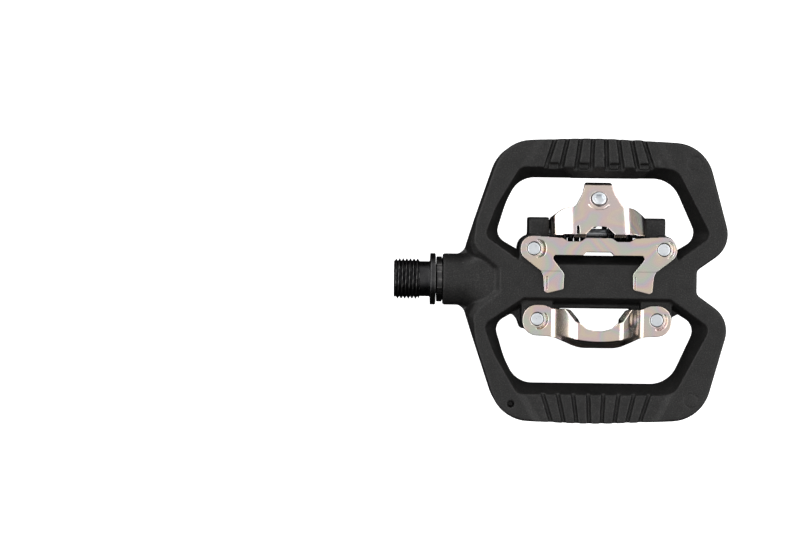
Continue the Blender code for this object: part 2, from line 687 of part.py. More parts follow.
def main():
    spindle_axis = empty("spindle_axis", (0, 0, 0))
    claw_pivot = empty("claw_pivot", point(CENTRE_X, PIN_Y, PIN_Z))
    adjuster_axis = empty("adjuster_axis", point(*screw_axis_point(0)))
    body = build_body()
    build_spindle()
    hub_fixed = [body, *build_axle_unit()]
    rolling = []
    for index, x in enumerate(BEARING_X, start=1):
        _, outer_ring, balls = build_bearing(index, x)
        hub_fixed.append(outer_ring)
        rolling += balls
    build_axle_end()
    hub_fixed += [build_cleat_plate(), build_front_claw(), build_pin(), *build_screws()]
    hub_fixed += [build_spring("spring_left", -1), build_spring("spring_right", 1)]
    rear_claw = build_rear_claw()
    screw, nut = build_tension_parts()
    attach(hub_fixed + rolling, spindle_axis)
    attach([rear_claw], claw_pivot)
    attach([screw, nut], adjuster_axis)


main()
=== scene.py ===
"""Looks of the left-hand clipless pedal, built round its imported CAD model.

Lengths in this script are millimetres unless a name ends in _M; point() turns them into metres.
"""
import math
import bmesh
import bpy
from mathutils import Matrix, Vector


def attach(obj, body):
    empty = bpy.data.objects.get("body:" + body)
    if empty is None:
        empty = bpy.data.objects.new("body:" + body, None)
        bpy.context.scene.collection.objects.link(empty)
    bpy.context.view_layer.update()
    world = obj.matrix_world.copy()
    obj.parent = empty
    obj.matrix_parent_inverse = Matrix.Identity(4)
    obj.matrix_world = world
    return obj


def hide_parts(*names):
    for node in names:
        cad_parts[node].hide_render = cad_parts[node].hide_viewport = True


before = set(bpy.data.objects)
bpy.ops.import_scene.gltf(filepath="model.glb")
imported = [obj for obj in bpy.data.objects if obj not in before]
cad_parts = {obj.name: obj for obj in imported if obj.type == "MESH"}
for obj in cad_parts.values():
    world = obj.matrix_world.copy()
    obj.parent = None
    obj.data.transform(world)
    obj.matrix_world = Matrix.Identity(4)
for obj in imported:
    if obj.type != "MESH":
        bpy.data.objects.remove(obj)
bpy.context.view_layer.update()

MM = 0.001
HALF_THICK = 10.0
CENTRE_X = 58.4
PLATE_SCREW = (22.6, 11.3)
CLAW_SCREW = (20.9, -13.4)
PIN_Y = 16.8
PIN_Z = -2.0
JAW_Y = 16.5
JAW_TOP_Z = 16.5
CLAW_SLOPE = math.radians(28.5)
TENSION_HEAD_Y = 28.8


# ---------------------------------------------------------------- mesh helpers

def point(x, y, z):
    return Vector((x, y, z)) * MM


def object_of(work, name):
    """Closes the working mesh into an object in the scene."""
    bmesh.ops.recalc_face_normals(work, faces=work.faces)
    mesh = bpy.data.meshes.new(name)
    work.to_mesh(mesh)
    work.free()
    obj = bpy.data.objects.new(name, mesh)
    bpy.context.scene.collection.objects.link(obj)
    return obj


def rounded(corners, closed=True, steps=9):
    """Corner points (x, y, radius) with each corner turned into an arc."""
    result = []
    count = len(corners)
    for i, (x, y, radius) in enumerate(corners):
        here = Vector((x, y))
        if radius == 0 or (not closed and i in (0, count - 1)):
            result.append(here)
            continue
        before = (Vector(corners[i - 1][:2]) - here).normalized()
        after = (Vector(corners[(i + 1) % count][:2]) - here).normalized()
        half_angle = before.angle(after) / 2
        reach = radius / math.tan(half_angle)
        centre = here + (before + after).normalized() * radius / math.sin(half_angle)
        start = here + before * reach - centre
        turn = start.angle_signed(here + after * reach - centre)
        for k in range(steps + 1):
            result.append(centre + Matrix.Rotation(-turn * k / steps, 2) @ start)
    return result


def both_sides(half):
    """A half outline (offset from CENTRE_X, y, radius), completed to both sides."""
    return ([(CENTRE_X + u, y, r) for u, y, r in half]
            + [(CENTRE_X - u, y, r) for u, y, r in reversed(half)])


def loft(name, rings):
    """A closed solid through rings of matching points, with a flat cap at each end."""
    work = bmesh.new()
    rows = [[work.verts.new(p) for p in ring] for ring in rings]
    for low, high in zip(rows, rows[1:]):
        for i in range(len(low)):
            j = (i + 1) % len(low)
            work.faces.new((low[i], low[j], high[j], high[i]))
    caps = [work.faces.new(list(reversed(rows[0]))), work.faces.new(rows[-1])]
    bmesh.ops.triangulate(work, faces=caps)
    return object_of(work, name)


def prism(name, outline, low, high, along="Z"):
    """A flat outline extruded between two levels along Z, X (outline is Y, Z) or Y (X, Z)."""
    raised = {"Z": lambda a, b, level: point(a, b, level),
              "X": lambda a, b, level: point(level, a, b),
              "Y": lambda a, b, level: point(a, level, b)}[along]
    return loft(name, [[raised(p[0], p[1], level) for p in outline] for level in (low, high)])


def box(name, centre, size):
    work = bmesh.new()
    bmesh.ops.create_cube(work, size=1.0)
    placing = Matrix.Translation(point(*centre)) @ Matrix.Diagonal((*point(*size), 1))
    bmesh.ops.transform(work, matrix=placing, verts=work.verts)
    return object_of(work, name)


def axis_frame(base, tip):
    """A matrix whose X axis runs from base to tip, both in mm."""
    start = point(*base)
    turn = (point(*tip) - start).to_track_quat("X", "Z").to_matrix().to_4x4()
    return Matrix.Translation(start) @ turn


def revolve(name, profile, placing=None, steps=72, wave=None):
    """(along, radius) points turned about X. A profile that starts at radius 0 is open there,
    any other closes on itself. wave(along, angle, radius) may change each point's radius."""
    placing = placing or Matrix.Identity(4)
    work = bmesh.new()
    rows = []
    for i in range(steps):
        angle = 2 * math.pi * i / steps
        row = []
        for along, radius in profile:
            r = wave(along, angle, radius) if wave else radius
            row.append(work.verts.new(placing @ point(along, r * math.cos(angle),
                                                      r * math.sin(angle))))
        rows.append(row)
    count = len(profile)
    last = count - 1 if profile[0][1] == 0 else count
    for i in range(steps):
        here, there = rows[i], rows[(i + 1) % steps]
        for k in range(last):
            n = (k + 1) % count
            work.faces.new((here[k], here[n], there[n], there[k]))
    bmesh.ops.remove_doubles(work, verts=work.verts, dist=1e-8)
    return object_of(work, name)


def rod(name, base, tip, radius, steps=48):
    length = (Vector(tip) - Vector(base)).length
    profile = [(0, 0), (0, radius), (length, radius), (length, 0)]
    return revolve(name, profile, axis_frame(base, tip), steps)


def bake(obj):
    """Applies the object's modifiers."""
    bpy.context.view_layer.update()
    evaluated = obj.evaluated_get(bpy.context.evaluated_depsgraph_get())
    mesh = bpy.data.meshes.new_from_object(evaluated)
    obj.modifiers.clear()
    old = obj.data
    obj.data = mesh
    bpy.data.meshes.remove(old)


def combine(obj, others, operation="DIFFERENCE"):
    """Cuts, joins or keeps the common part, once per other object, and removes the others."""
    for other in others:
        modifier = obj.modifiers.new(other.name, "BOOLEAN")
        modifier.operation = operation
        modifier.object = other
        modifier.solver = "EXACT"
    bake(obj)
    for other in others:
        bpy.data.objects.remove(other, do_unlink=True)
    return obj


def merged(objects):
    """One object made of several that stand apart from each other."""
    work = bmesh.new()
    for obj in objects:
        work.from_mesh(obj.data)
        bpy.data.objects.remove(obj, do_unlink=True)
    return object_of(work, "merged")


def soften(obj, voxel, rounds):
    """Rebuilds the surface on a fine grid and eases it, so that every edge gets a small radius."""
    remesh = obj.modifiers.new("grid", "REMESH")
    remesh.mode = "VOXEL"
    remesh.voxel_size = voxel * MM
    ease = obj.modifiers.new("ease", "SMOOTH")
    ease.factor = 0.5
    ease.iterations = rounds
    bake(obj)
    obj.data.shade_smooth()
    return obj


def thin_out(obj, ratio):
    """Keeps about this share of the faces."""
    thin = obj.modifiers.new("thin", "DECIMATE")
    thin.ratio = ratio
    bake(obj)
    obj.data.shade_smooth()
    return obj


def crisp(obj, degrees=32):
    obj.data.shade_smooth()
    obj.data.set_sharp_from_angle(angle=math.radians(degrees))
    return obj


def reshape(obj, move):
    """Moves every vertex: move takes and gives (x, y, z) in mm."""
    for vertex in obj.data.vertices:
        vertex.co = point(*move(*(vertex.co / MM)))
    obj.data.update()
    return obj


def ramp(value, start, end):
    """0 before start, 1 after end, and a smooth step in between."""
    share = min(max((value - start) / (end - start), 0.0), 1.0)
    return share * share * (3 - 2 * share)


def bump(distance, width):
    """1 at distance 0, falling smoothly to 0 at the width."""
    return 1.0 - ramp(abs(distance), 0.0, width)


# ---------------------------------------------------------------- materials

def shader_of(name):
    material = bpy.data.materials.new(name)
    material.use_nodes = True
    tree = material.node_tree
    return material, tree, tree.nodes["Principled BSDF"]


def add_node(tree, kind, **settings):
    node = tree.nodes.new(kind)
    for key, value in settings.items():
        if key in node.inputs:
            node.inputs[key].default_value = value
        else:
            setattr(node, key, value)
    return node


def math_node(tree, operation, *values):
    """A Math node's output, from numbers or other nodes' outputs."""
    node = add_node(tree, "ShaderNodeMath", operation=operation)
    for socket, value in zip(node.inputs, values):
        if isinstance(value, bpy.types.NodeSocket):
            tree.links.new(value, socket)
        else:
            socket.default_value = value
    return node.outputs[0]


def noise(tree, scale, detail=3.0, rough=0.5, stretch=(1, 1, 1)):
    """A noise texture in the object's own space, in features per metre."""
    coordinates = tree.nodes.new("ShaderNodeTexCoord")
    mapping = tree.nodes.new("ShaderNodeMapping")
    mapping.inputs["Scale"].default_value = stretch
    texture = add_node(tree, "ShaderNodeTexNoise", Scale=scale, Detail=detail, Roughness=rough)
    tree.links.new(coordinates.outputs["Object"], mapping.inputs["Vector"])
    tree.links.new(mapping.outputs["Vector"], texture.inputs["Vector"])
    return texture


def colours(tree, source, stops):
    """A colour ramp driven by a value; stops are (position, (r, g, b))."""
    node = tree.nodes.new("ShaderNodeValToRGB")
    elements = node.color_ramp.elements
    while len(elements) < len(stops):
        elements.new(0.5)
    for element, (position, colour) in zip(elements, stops):
        element.position = position
        element.color = (*colour, 1)
    tree.links.new(source, node.inputs["Fac"])
    return node.outputs["Color"]


def spread(tree, source, low, high, start=0.3, end=0.7):
    """A value from start to end mapped to low to high."""
    node = tree.nodes.new("ShaderNodeMapRange")
    for key, value in (("From Min", start), ("From Max", end), ("To Min", low), ("To Max", high)):
        node.inputs[key].default_value = value
    tree.links.new(source, node.inputs["Value"])
    return node.outputs["Result"]


def relief(tree, shader, layers):
    """Stacks bumps on the shader's normal: layers are (height output, strength, distance in mm)."""
    previous = None
    for height, strength, distance in layers:
        node = tree.nodes.new("ShaderNodeBump")
        node.inputs["Strength"].default_value = strength
        node.inputs["Distance"].default_value = distance * MM
        tree.links.new(height, node.inputs["Height"])
        if previous:
            tree.links.new(previous, node.inputs["Normal"])
        previous = node.outputs["Normal"]
    tree.links.new(previous, shader.inputs["Normal"])


def edge_wear_and_highlight(tree, amount_low, amount_high):
    """1 on convex edges and 0 elsewhere, from the mesh's own curvature."""
    geometry = tree.nodes.new("ShaderNodeNewGeometry")
    return spread(tree, geometry.outputs["Pointiness"], 0.0, 1.0, amount_low, amount_high)


MIX_FACTOR, MIX_FIRST, MIX_SECOND = 0, 6, 7
MIX_RESULT = 2


def mix_colour(tree, factor, first, second, blend="MIX"):
    """Mixes two colours; the Mix node's colour sockets are found by their index."""
    node = tree.nodes.new("ShaderNodeMix")
    node.data_type = "RGBA"
    node.blend_type = blend
    for index, value in ((MIX_FACTOR, factor), (MIX_FIRST, first), (MIX_SECOND, second)):
        if isinstance(value, bpy.types.NodeSocket):
            tree.links.new(value, node.inputs[index])
        else:
            node.inputs[index].default_value = value
    return node.outputs[MIX_RESULT]


def composite_material():
    """Black glass-filled nylon: a fine matte grain, faint mottling, and convex edges mixed paler as a
    painted highlight.
    """
    material, tree, shader = shader_of("moulded_composite")
    grain = noise(tree, 2300, 2.0, 0.6)
    mottle = noise(tree, 210, 4.0, 0.6)
    flow = noise(tree, 38, 2.0, 0.5)
    fine = colours(tree, grain.outputs["Fac"], [(0.30, (0.005, 0.005, 0.0052)),
                                                (0.52, (0.0105, 0.0102, 0.0100)),
                                                (0.74, (0.028, 0.027, 0.026))])
    soft = colours(tree, mottle.outputs["Fac"], [(0.3, (0.75, 0.75, 0.75)), (0.7, (1.25, 1.25, 1.25))])
    base = mix_colour(tree, 1.0, fine, soft, "MULTIPLY")
    # Painted highlight: the convex edges are mixed to a paler grey.
    worn_and_highlit_edge = mix_colour(tree, edge_wear_and_highlight(tree, 0.555, 0.68), base, (0.05, 0.049, 0.047, 1))
    tree.links.new(worn_and_highlit_edge, shader.inputs["Base Color"])
    tree.links.new(spread(tree, flow.outputs["Fac"], 0.44, 0.54), shader.inputs["Roughness"])
    shader.inputs["Specular IOR Level"].default_value = 0.25
    relief(tree, shader, [(grain.outputs["Fac"], 0.35, 0.10), (mottle.outputs["Fac"], 0.15, 0.10)])
    return material


FILM_BANDS = 7.0


def plated_material():
    """Bright stamped steel under a thin clear film, whose thickness shows as pastel contour bands."""
    material, tree, shader = shader_of("passivated_plate")
    film = noise(tree, 62, 1.5, 0.45)
    cloud = noise(tree, 45, 2.0, 0.5)
    brushed = noise(tree, 900, 2.0, 0.5, (6.0, 0.25, 1.0))
    scratches = noise(tree, 420, 5.0, 0.7)
    order = math_node(tree, "FRACT", math_node(tree, "MULTIPLY", film.outputs["Fac"], FILM_BANDS))
    tint = colours(tree, order, [(0.00, (0.600, 0.505, 0.455)), (0.22, (0.640, 0.545, 0.400)),
                                 (0.42, (0.630, 0.460, 0.470)), (0.60, (0.510, 0.480, 0.540)),
                                 (0.78, (0.480, 0.550, 0.450)), (1.00, (0.600, 0.505, 0.455))])
    strength = spread(tree, cloud.outputs["Fac"], 0.20, 0.85, 0.35, 0.65)
    coated = mix_colour(tree, strength, (0.590, 0.500, 0.460, 1), tint)
    worn_and_highlit_edge = mix_colour(tree, edge_wear_and_highlight(tree, 0.53, 0.62), coated, (0.80, 0.76, 0.72, 1))
    tree.links.new(worn_and_highlit_edge, shader.inputs["Base Color"])
    shader.inputs["Metallic"].default_value = 1.0
    tree.links.new(spread(tree, scratches.outputs["Fac"], 0.13, 0.22), shader.inputs["Roughness"])
    relief(tree, shader, [(scratches.outputs["Fac"], 0.05, 0.04), (brushed.outputs["Fac"], 0.04, 0.03)])
    return material


def steel_material(name, dark, light, smooth, rough, scale=700, worn_and_highlit_edge=None, metallic=1.0, depth=0.06):
    """Metal whose colour and gloss both vary a little, with optional paler edges."""
    material, tree, shader = shader_of(name)
    fine = noise(tree, scale, 4.0, 0.65)
    coarse = noise(tree, scale / 8, 3.0, 0.5)
    base = colours(tree, coarse.outputs["Fac"], [(0.35, dark), (0.65, light)])
    if worn_and_highlit_edge:
        base = mix_colour(tree, edge_wear_and_highlight(tree, 0.52, 0.60), base, (*worn_and_highlit_edge, 1))
    tree.links.new(base, shader.inputs["Base Color"])
    shader.inputs["Metallic"].default_value = metallic
    tree.links.new(spread(tree, fine.outputs["Fac"], smooth, rough), shader.inputs["Roughness"])
    relief(tree, shader, [(fine.outputs["Fac"], 0.12, depth)])
    return material


COMPOSITE = composite_material()
PLATED = plated_material()
ZINC = steel_material("bright_zinc", (0.56, 0.59, 0.62), (0.69, 0.715, 0.74), 0.24, 0.40, 600)
BLACK_OXIDE = steel_material("black_oxide", (0.030, 0.030, 0.032), (0.060, 0.059, 0.060), 0.24, 0.40,
                             900, (0.20, 0.195, 0.19))
SPRING_BLACK = steel_material("spring_black", (0.018, 0.018, 0.020), (0.040, 0.040, 0.043), 0.22, 0.40,
                              1100)
GROUND = steel_material("ground_steel", (0.52, 0.52, 0.54), (0.64, 0.64, 0.66), 0.10, 0.22, 1400,
                        depth=0.02)
RUBBER = steel_material("nitrile", (0.014, 0.014, 0.014), (0.022, 0.022, 0.022), 0.55, 0.75, 1500,
                        metallic=0.0)
BUSH = steel_material("bush_polymer", (0.28, 0.20, 0.09), (0.38, 0.28, 0.14), 0.40, 0.55, 1200,
                      metallic=0.0)


def place(obj, body, material, slot, *nodes):
    """Gives a piece its material, its body and the CAD nodes that it stands for; slot is not used."""
    obj.data.materials.clear()
    obj.data.materials.append(material)
    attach(obj, body)
    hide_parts(*nodes)
    return obj


# ---------------------------------------------------------------- camera, lights and floor

SCALE_M = 0.3485e-3
DISTANCE_M = 0.63
TILT = 0.027
ROLL = math.radians(0.70)
AIM = (-10.63, 1.47, HALF_THICK)
FRAME_WIDTH = 800
SENSOR_MM = 36.0


def build_camera():
    """Looks down on the clip side from between a pair of pedals, with a small tilt and roll."""
    data = bpy.data.cameras.new("camera")
    data.sensor_width = SENSOR_MM
    data.lens = SENSOR_MM * DISTANCE_M / (FRAME_WIDTH * SCALE_M)
    data.clip_start = 0.01
    data.clip_end = 10.0
    camera = bpy.data.objects.new("camera", data)
    bpy.context.scene.collection.objects.link(camera)
    back = Vector((0.0, TILT, 1.0)).normalized()
    right = Vector((1.0, 0.0, 0.0))
    turn = Matrix((right, back.cross(right), back)).transposed() @ Matrix.Rotation(ROLL, 3, "Z")
    camera.matrix_world = Matrix.Translation(point(*AIM) + back * DISTANCE_M) @ turn.to_4x4()
    bpy.context.scene.camera = camera


def area_light(name, place_m, target_m, size_m, watts, lit=True, mirrored=True):
    """A soft panel. lit and mirrored say if it shows in diffuse light and in reflections."""
    data = bpy.data.lights.new(name, "AREA")
    data.shape = "RECTANGLE"
    data.size, data.size_y = size_m
    data.energy = watts
    light = bpy.data.objects.new(name, data)
    bpy.context.scene.collection.objects.link(light)
    light.location = place_m
    direction = Vector(target_m) - Vector(place_m)
    light.rotation_euler = direction.to_track_quat("-Z", "Y").to_euler()
    light.visible_diffuse = lit
    light.visible_glossy = mirrored


FLOOR_HALF_SIZE_M = 3.0
FLOOR_LEVEL_M = -0.075


def build_floor():
    """A pale floor that is kept out of reflections and bounce light."""
    work = bmesh.new()
    bmesh.ops.create_grid(work, x_segments=8, y_segments=8, size=FLOOR_HALF_SIZE_M)
    bmesh.ops.translate(work, verts=work.verts, vec=(0, 0, FLOOR_LEVEL_M))
    floor = object_of(work, "floor")
    material, tree, shader = shader_of("floor")
    paper = noise(tree, 60, 2.0, 0.5)
    tone = colours(tree, paper.outputs["Fac"], [(0.3, (0.90, 0.90, 0.90)), (0.7, (0.93, 0.93, 0.93))])
    tree.links.new(tone, shader.inputs["Base Color"])
    shader.inputs["Roughness"].default_value = 0.9
    shader.inputs["Emission Color"].default_value = (1, 1, 1, 1)
    shader.inputs["Emission Strength"].default_value = 0.70
    floor.data.materials.append(material)
    floor.visible_glossy = False
    floor.visible_diffuse = False


SKY_SIDE_LIFT = 0.6
SKY_BACK_LIFT = 0.66
SKY_FADE_RATE = 4.0
SKY_FADE_START = 0.60


def build_world():
    """A bright ceiling that falls off to a dark horizon, and a pale backdrop for the camera.
    The sides and the back (+Y) stay brighter than the front, and all fade out below the horizon."""
    world = bpy.data.worlds.new("studio")
    bpy.context.scene.world = world
    world.use_nodes = True
    tree = world.node_tree
    direction = tree.nodes.new("ShaderNodeTexCoord")
    split = tree.nodes.new("ShaderNodeSeparateXYZ")
    tree.links.new(direction.outputs["Generated"], split.inputs[0])

    x, y, z = split.outputs
    sideways = math_node(tree, "MULTIPLY", x, x)
    backwards = math_node(tree, "MULTIPLY", math_node(tree, "MULTIPLY", y, math_node(tree, "ABSOLUTE", y)),
                          SKY_BACK_LIFT)
    outwards = math_node(tree, "MULTIPLY_ADD", sideways, SKY_SIDE_LIFT, backwards)
    fade = math_node(tree, "MULTIPLY_ADD", z, SKY_FADE_RATE, SKY_FADE_START)
    fade = math_node(tree, "MINIMUM", math_node(tree, "MAXIMUM", fade, 0.0), 1.0)
    height = math_node(tree, "MULTIPLY_ADD", outwards, fade, z)
    sky = colours(tree, height, [(0.0, (0.010, 0.010, 0.010)), (0.15, (0.03, 0.03, 0.03)),
                                 (0.40, (0.16, 0.155, 0.15)), (0.75, (0.55, 0.55, 0.55)),
                                 (0.95, (0.90, 0.90, 0.90))])
    studio = tree.nodes["Background"]
    tree.links.new(sky, studio.inputs["Color"])
    backdrop = tree.nodes.new("ShaderNodeBackground")
    backdrop.inputs["Color"].default_value = (0.93, 0.93, 0.93, 1)
    rays = tree.nodes.new("ShaderNodeLightPath")
    blend = tree.nodes.new("ShaderNodeMixShader")
    tree.links.new(rays.outputs["Is Camera Ray"], blend.inputs[0])
    tree.links.new(studio.outputs[0], blend.inputs[1])
    tree.links.new(backdrop.outputs[0], blend.inputs[2])
    tree.links.new(blend.outputs[0], tree.nodes["World Output"].inputs["Surface"])


def build_lights():
    middle = (0.055, 0.0, 0.0)
    area_light("ceiling", (0.05, 0.35, 2.2), middle, (1.8, 1.8), 22.0, mirrored=False)
    area_light("left_panel", (-0.65, 0.0, 0.56), middle, (1.3, 0.76), 7.6, lit=False)
    area_light("right_panel", (0.76, 0.0, 0.56), middle, (1.3, 0.76), 6.6, lit=False)
    area_light("back_left_panel", (-0.52, 0.70, 0.25), middle, (0.70, 0.42), 3.0, lit=False)
    area_light("back_right_panel", (0.51, 0.79, 0.25), middle, (0.42, 0.42), 1.9, lit=False)


build_camera()
build_floor()
build_world()
build_lights()
bpy.context.scene.view_settings.view_transform = "Standard"


# ---------------------------------------------------------------- pedal body

OUTLINE = [(7.5, 8.9, 0), (11.45, 8.9, 4), (24.9, 48.8, 14), (57.0, 50.1, 200),
           (95.3, 48.2, 14), (105.1, 12.8, 10), (93.0, 4.2, 2)]
WINDOW_FACE = [(32.6, 5.9, 2), (18.6, 15.5, 2.9), (22.3, 25.4, 30), (31.1, 40.2, 4.8),
               (85.2, 40.2, 7), (97.9, 16.0, 2.7), (83.9, 5.9, 2)]
WINDOW_MIDDLE = [(34.2, 9.0, 3), (22.9, 15.4, 4.5), (26.5, 27.3, 30), (30.9, 36.2, 9),
                 (84.8, 36.2, 10), (94.2, 15.5, 5), (83.5, 9.0, 3)]
GROOVES = 8
GROOVE_PITCH_INNER = 5.27
GROOVE_PITCH_OUTER = 4.37
TREAD_INNER_Y = 40.2
TREAD_OUTER_Y = 50.1
TREAD_DEPTH = 1.05
TREAD_END_SLOPE = 2.8
RIB_RISE = 0.40
EDGE_RADIUS = 0.9
CLAW_BOSS_TOP = 7.0
LUG_INNER = 16.9
LUG_OUTER = 24.0
COLLAR_BORE = 7.8
AXLE_BORE = 6.8
SHANK_HOLE = 2.5
HEAD_POCKET = 4.0
FACE_HOLE = (28.6, -43.1)
PIN_BORE = 1.95
EJECTOR_MARK = (91.6, 41.3)
EJECTOR_RADIUS = 2.4
EJECTOR_DEPTH = 0.22
CAGE_VOXEL = 0.34
CAGE_KEPT_FACES = 0.31


def inset(outline, amount):
    """An anticlockwise outline moved inwards."""
    count = len(outline)
    result = []
    for i, here in enumerate(outline):
        along = (outline[(i + 1) % count] - outline[i - 1]).normalized()
        result.append(here + Vector((-along.y, along.x)) * amount)
    return result


def cage_blank():
    """The whole outline, with its outer edges rounded on both faces."""
    full = rounded([(x, -y, r) for x, y, r in OUTLINE]
                   + [(x, y, r) for x, y, r in reversed(OUTLINE)])
    levels = []
    for k in range(5):
        angle = math.pi / 2 * k / 4
        levels.append((HALF_THICK - EDGE_RADIUS + EDGE_RADIUS * math.sin(angle),
                       EDGE_RADIUS * (1 - math.cos(angle))))
    levels = [(-z, d) for z, d in reversed(levels)] + levels
    return loft("pedal_cage", [[point(p.x, p.y, z) for p in inset(full, d)] for z, d in levels])


def window_cutter(side):
    face = rounded(WINDOW_FACE)
    middle = rounded(WINDOW_MIDDLE)
    over = (HALF_THICK + 1.0) / HALF_THICK
    rings = []
    for level, share in ((-over, over), (0, 0), (over, over)):
        ring = [m + (f - m) * share for f, m in zip(face, middle)]
        rings.append([point(p.x, side * p.y, level * HALF_THICK) for p in ring])
    return loft("window", rings)


def neck_cutter(side):
    """Cuts the arms' roots and the hub's end down to the neck, with a wall that slopes at 45 degrees."""
    face = [(24.4, 0.5, 0), (24.4, 4.3, 2.2), (16.8, 10.4, 3.0), (15.2, 13.2, 2.0), (16.0, 22.0, 0)]
    foot = [(22.0, 0.5, 0), (22.0, 3.2, 2.2), (15.2, 8.8, 3.0), (13.4, 12.6, 2.0), (15.5, 22.0, 0)]
    base = [(20.0, 0.5, 0), (20.0, 2.2, 1.6), (13.8, 7.4, 2.0), (12.2, 12.0, 2.0), (15.0, 22.0, 0)]
    rings = []
    above = [(2 * f[0] - g[0], 2 * f[1] - g[1], f[2]) for f, g in zip(face, foot)]
    for level, half in ((1.5, base), (7.5, foot), (HALF_THICK, face), (HALF_THICK + 2.5, above)):
        line = rounded(half, closed=False, steps=6)
        ring = [(p.x, p.y) for p in line] + [(-6.0, 22.0), (-6.0, -22.0)]
        ring += [(p.x, -p.y) for p in reversed(line)]
        rings.append([point(x, y, side * level) for x, y in ring])
    return loft("neck_slope", rings)


def neck_flare():
    """The round neck, which widens into a flat-topped root where it meets the hub."""
    sections = [(4.4, 8.7, 8.7, 2.0), (4.7, 9.1, 9.1, 2.0), (11.5, 9.1, 9.1, 2.0),
                (14.0, 9.9, 9.05, 2.15), (16.5, 11.4, 8.9, 2.4), (19.0, 12.6, 8.6, 2.8),
                (22.0, 13.2, 8.15, 3.2), (26.0, 13.2, 8.0, 3.4)]
    rings = []
    for x, half_width, half_height, power in sections:
        ring = []
        for i in range(96):
            angle = 2 * math.pi * i / 96
            across, up = math.cos(angle), math.sin(angle)
            ring.append(point(x, math.copysign(abs(across) ** (2 / power), across) * half_width,
                              math.copysign(abs(up) ** (2 / power), up) * half_height))
        rings.append(ring)
    return loft("neck_flare", rings)


def corner_fillers():
    """Webs between the claw bosses and the windows' corners, and a ledge along the hub."""
    made = []
    for sign, reach in ((-1, 0.0), (1, 1.4)):
        outline = []
        for u, y in ((32.5, -10.5), (30.1, -11.8), (28.6, -12.6), (27.3, -14.2), (26.3, -17.0),
                     (24.0, -17.0), (22.0, -8.0), (31.5, -8.0)):
            outline.append(Vector((CENTRE_X + sign * (u - reach), y)))
        made.append(prism("corner_web", outline, -8.0, 2.0))
    ledge = rounded([(CENTRE_X + u, y, r) for u, y, r in (
        (-16.5, -7.5, 0), (-16.5, -13.0, 0), (-13.7, -13.0, 0), (-13.7, -9.75, 1.6), (13.3, -9.75, 1.6),
        (13.3, -13.0, 0), (16.5, -13.0, 0), (16.5, -7.5, 0))])
    made.append(prism("hub_ledge", ledge, -8.0, 3.0))
    return made


def tread_parts(y_side, z_side):
    """One tread's ramped recess, the ribs that stand a little higher, the fan of grooves between
    the ribs, and the notches at the high ribs' inner ends."""
    left = [(29.2, 37.0), (38.7, 53.0)]
    right = [(78.4, 53.0), (86.9, 37.0)]
    rings = []
    for drop in (-0.5, TREAD_DEPTH):
        shift = TREAD_END_SLOPE * drop / TREAD_DEPTH
        outline = [(x + shift, y) for x, y in left] + [(x - shift, y) for x, y in right]
        level = z_side * (HALF_THICK - drop)
        rings.append([point(x, y_side * y, level) for x, y in outline])
    recess = loft("recess", rings)
    grooves, ribs, notches = [], [], []
    flip = Matrix.Diagonal((1, 1, z_side, 1))
    section = [(-1.15, 1.6), (-0.80, 0.0), (-0.42, -1.35), (0.42, -1.35), (0.80, 0.0), (1.15, 1.6)]
    for i in range(GROOVES):
        rank = i - (GROOVES - 1) / 2
        inner = CENTRE_X + rank * GROOVE_PITCH_INNER
        outer = CENTRE_X + rank * GROOVE_PITCH_OUTER
        turn = math.atan2(inner - outer, TREAD_OUTER_Y - TREAD_INNER_Y) * y_side
        centre = ((inner + outer) / 2, y_side * (TREAD_INNER_Y + TREAD_OUTER_Y) / 2)
        bar = prism("groove", section, -7.0, 7.0, along="Y")
        bar.data.transform(Matrix.Translation(point(*centre, z_side * (HALF_THICK - TREAD_DEPTH)))
                           @ Matrix.Rotation(turn, 4, "Z") @ flip)
        if z_side < 0:
            bar.data.flip_normals()
        grooves.append(bar)
        if y_side > 0 and i % 2 == 0:
            step_inner, step_outer = inner + GROOVE_PITCH_INNER, outer + GROOVE_PITCH_OUTER
            rib = [Vector((inner, 41.2)), Vector((step_inner, 41.2)), Vector((step_outer, 49.5)),
                   Vector((outer, 49.5))]
            low, high = sorted((z_side * 7.0, z_side * (HALF_THICK - TREAD_DEPTH + RIB_RISE)))
            ribs.append(prism("rib", rib, low, high))
            middle = (inner + step_inner) / 2
            notches.append(box("notch", (middle, 40.1, z_side * 9.0), (3.5, 2.1, 3.6)))
    return recess, ribs, grooves, notches


def bosses():
    """Screw bosses on both sides of the hub, and the pin's lugs."""
    made = []
    for sign in (-1, 1):
        x, y = CENTRE_X + sign * PLATE_SCREW[0], PLATE_SCREW[1]
        outline = rounded([(x - 4.9, 4.0, 0), (x + 4.9, 4.0, 0), (x + 4.9, y + 4.9, 4.85),
                           (x - 4.9, y + 4.9, 4.85)])
        made.append(prism("plate_boss", outline, -9.0, 9.8))
        low, high = sorted((CENTRE_X + sign * LUG_INNER, CENTRE_X + sign * LUG_OUTER))
        lug = rounded([(6.5, -6.5, 0), (22.3, -6.5, 1.3), (22.3, 5.0, 1.6), (6.5, 5.0, 0)], steps=6)
        made.append(prism("pin_lug", lug, low, high, along="X"))
        x, y = CENTRE_X + sign * CLAW_SCREW[0], CLAW_SCREW[1]
        outline = rounded([(x - 5.5, -4.2, 0), (x - 5.5, y - 5.5, 5.4), (x + 5.5, y - 5.5, 5.4),
                           (x + 5.5, -4.2, 0)])
        made.append(prism("claw_boss", outline, -9.0, CLAW_BOSS_TOP))
    return made


def bar_pad():
    """Flat pad on the sprung-side bar's inner wall, narrower at mid-depth than at the tread."""
    rings = []
    for level, near, half in ((-9.4, 39.9, 17.6), (-5.0, 36.3, 13.6), (5.0, 36.3, 13.6), (9.4, 39.9, 17.6)):
        outline = [(61.6 - half, 42.5), (61.6 - half, near + 0.9), (61.6 - half + 1.6, near),
                   (61.6 + half - 1.6, near), (61.6 + half, near + 0.9), (61.6 + half, 42.5)]
        rings.append([point(x, y, level) for x, y in outline])
    return loft("bar_pad", rings)


